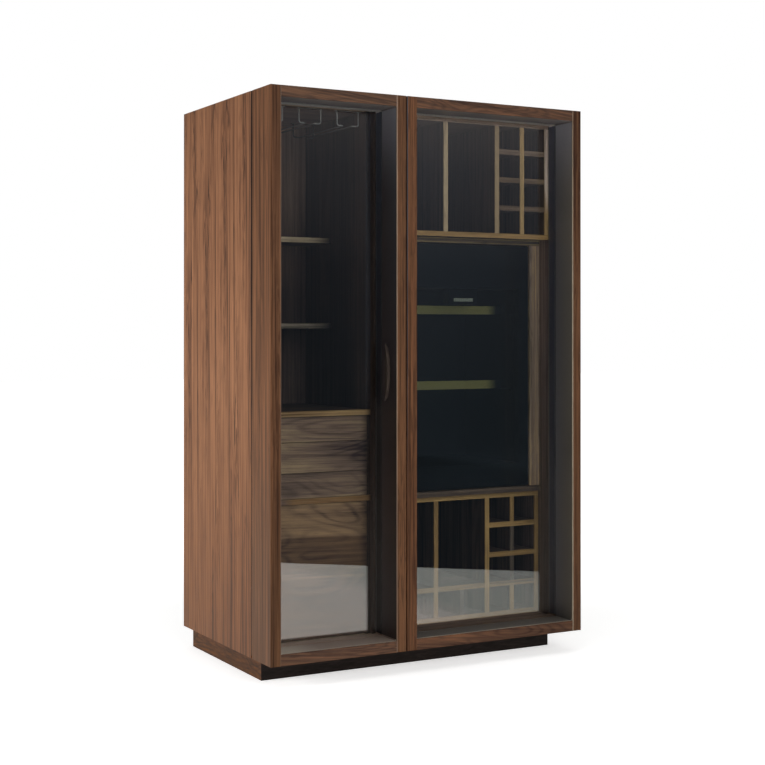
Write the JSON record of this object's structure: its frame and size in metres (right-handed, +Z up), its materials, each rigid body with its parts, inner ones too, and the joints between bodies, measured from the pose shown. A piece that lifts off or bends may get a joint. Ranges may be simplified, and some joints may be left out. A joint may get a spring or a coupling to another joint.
{
  "type": "wine cabinet",
  "caption": "Tall walnut wine cabinet with two deep glazed doors, bottle racks, a built-in cooler, drawers, shelves and hanging rails for stemmed glasses.",
  "frame": {"origin": "centre of the footprint, on the floor", "axes": "+Z up, +X to the right seen from the front, +Y towards the back"},
  "size_m": [1.325, 0.825, 2.105],
  "materials": {
    "side_walnut": "satin streaky walnut",
    "front_walnut": "satin dark walnut",
    "inner_walnut": "satin dark stained walnut",
    "lipping": "light lipped board, satin",
    "plinth": "dark stained, matt",
    "bronze": "bronze grey, satin",
    "hinge": "blackened steel",
    "chrome": "polished",
    "clear_glass": "clear float glass",
    "smoked_glass": "dark tinted glass",
    "cooler_black": "fine satin black",
    "rubber": "matt",
    "beech": "plain oiled wood",
    "display": "pale diffusing cover"
  },
  "bodies": {
    "carcass": {"plinth": "plinth", "left_side": "side_walnut", "right_side": "side_walnut", "bottom_panel": "side_walnut", "top_panel": "side_walnut", "partition": "inner_walnut", "back_panel": "inner_walnut", "left_lining": "inner_walnut", "right_lining": "inner_walnut", "upper_shelf": "lipping", "lower_shelf": "lipping", "counter_board": "lipping", "drawer_base_board": "lipping", "stem_rack_left": "chrome", "stem_rack_middle": "chrome", "stem_rack_right": "chrome", "upper_rack_box": "lipping", "upper_rack_divider_1": "lipping", "upper_rack_divider_2": "lipping", "upper_rack_divider_3": "lipping", "upper_rack_shelf_1": "lipping", "upper_rack_shelf_2": "lipping", "upper_rack_shelf_3": "lipping", "lower_rack_box": "lipping", "lower_rack_divider_1": "lipping", "lower_rack_divider_2": "lipping", "lower_rack_divider_3": "lipping", "lower_rack_shelf_1": "lipping", "lower_rack_shelf_2": "lipping", "lower_rack_shelf_3": "lipping", "cooler_surround": "inner_walnut", "cooler_housing": "cooler_black", "cooler_display": "display", "left_door_hinge_carcass_leaf": "hinge", "right_door_hinge_carcass_leaf": "hinge"},
    "left_door": {"left_door_hinge_stile": "front_walnut", "left_door_free_stile": "front_walnut", "left_door_top_rail": "front_walnut", "left_door_bottom_rail": "front_walnut", "left_door_liner": "bronze", "left_door_glass": "clear_glass", "left_door_pull": "front_walnut", "left_door_hinge_door_leaf": "hinge"},
    "right_door": {"right_door_hinge_stile": "front_walnut", "right_door_free_stile": "front_walnut", "right_door_top_rail": "front_walnut", "right_door_bottom_rail": "front_walnut", "right_door_liner": "bronze", "right_door_glass": "clear_glass", "right_door_pull": "front_walnut", "right_door_hinge_door_leaf": "hinge"},
    "top_drawer": {"drawer_1": "front_walnut"},
    "middle_drawer": {"drawer_2": "front_walnut"},
    "low_drawer": {"drawer_3": "front_walnut"},
    "tall_drawer": {"deep_drawer": "front_walnut"},
    "cooler_door": {"cooler_door_frame": "cooler_black", "cooler_door_glass": "smoked_glass", "cooler_gasket": "rubber"},
    "upper_cooler_shelf": {"cooler_shelf_1": "beech"},
    "lower_cooler_shelf": {"cooler_shelf_2": "beech"}
  },
  "joints": [
    {"name": "left_door_hinge", "type": "hinge", "parent": "carcass", "child": "left_door", "pos_m": [-0.6595, -0.2485, 1.095], "axis": [0, 0, -1], "range_deg": [0, 105]},
    {"name": "right_door_hinge", "type": "hinge", "parent": "carcass", "child": "right_door", "pos_m": [0.6595, -0.2485, 1.095], "axis": [0, 0, 1], "range_deg": [0, 105]},
    {"name": "top_drawer_slide", "type": "slide", "parent": "carcass", "child": "top_drawer", "axis": [0, -1, 0], "range_m": [0, 0.3]},
    {"name": "middle_drawer_slide", "type": "slide", "parent": "carcass", "child": "middle_drawer", "axis": [0, -1, 0], "range_m": [0, 0.3]},
    {"name": "low_drawer_slide", "type": "slide", "parent": "carcass", "child": "low_drawer", "axis": [0, -1, 0], "range_m": [0, 0.3]},
    {"name": "tall_drawer_slide", "type": "slide", "parent": "carcass", "child": "tall_drawer", "axis": [0, -1, 0], "range_m": [0, 0.3]},
    {"name": "cooler_door_hinge", "type": "hinge", "parent": "carcass", "child": "cooler_door", "pos_m": [0.5622, -0.1692, 1.1101], "axis": [0, 0, 1], "range_deg": [0, 90]},
    {"name": "upper_cooler_shelf_slide", "type": "slide", "parent": "carcass", "child": "upper_cooler_shelf", "axis": [0, -1, 0], "range_m": [0, 0.1]},
    {"name": "lower_cooler_shelf_slide", "type": "slide", "parent": "carcass", "child": "lower_cooler_shelf", "axis": [0, -1, 0], "range_m": [0, 0.1]}
  ],
  "couplings": [
    {"joint": "top_drawer_slide", "follows": "left_door_hinge", "m_per_rad": 0.1636},
    {"joint": "middle_drawer_slide", "follows": "left_door_hinge", "m_per_rad": 0.1636},
    {"joint": "low_drawer_slide", "follows": "left_door_hinge", "m_per_rad": 0.1636},
    {"joint": "tall_drawer_slide", "follows": "left_door_hinge", "m_per_rad": 0.1636},
    {"joint": "cooler_door_hinge", "follows": "right_door_hinge", "ratio": 0.857},
    {"joint": "upper_cooler_shelf_slide", "follows": "right_door_hinge", "m_per_rad": 0.0545},
    {"joint": "lower_cooler_shelf_slide", "follows": "right_door_hinge", "m_per_rad": 0.0545}
  ]
}
